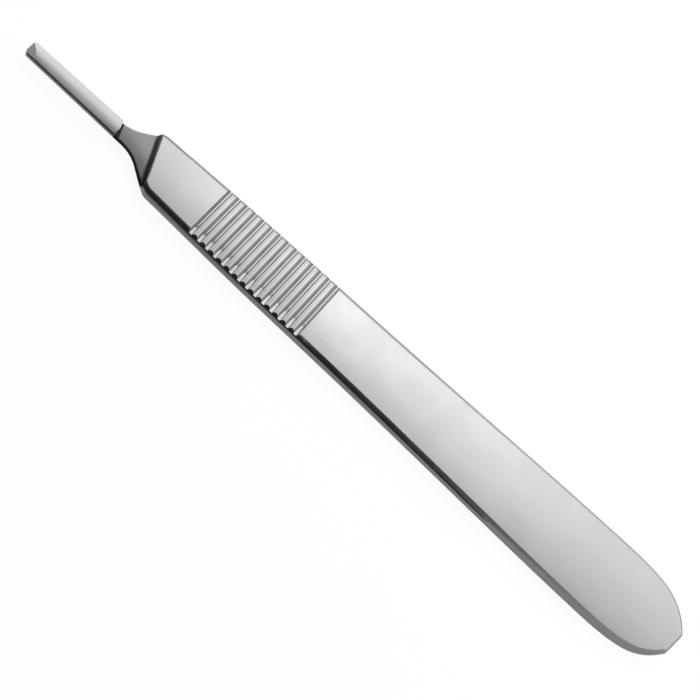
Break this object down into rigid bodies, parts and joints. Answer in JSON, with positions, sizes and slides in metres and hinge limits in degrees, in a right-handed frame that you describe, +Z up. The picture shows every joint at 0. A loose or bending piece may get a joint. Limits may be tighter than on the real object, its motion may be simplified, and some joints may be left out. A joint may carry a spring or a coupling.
{
  "type": "scalpel handle",
  "caption": "Flat one-piece steel scalpel handle that widens to a rounded rear end, with a cross-ridged grip and a narrow grooved tongue that a detachable blade slides onto.",
  "frame": {"origin": "on the surface it lies on, under the middle of the handle's box", "axes": "+X from the blade end to the rear end, +Y to the side where the shoulder reaches furthest forward, +Z up from the flat back to the face that carries the blade"},
  "size_m": [0.125, 0.0128, 0.0032],
  "materials": {
    "steel": "satin-polished stainless steel"
  },
  "bodies": {
    "root": {"handle": "steel"}
  },
  "joints": []
}
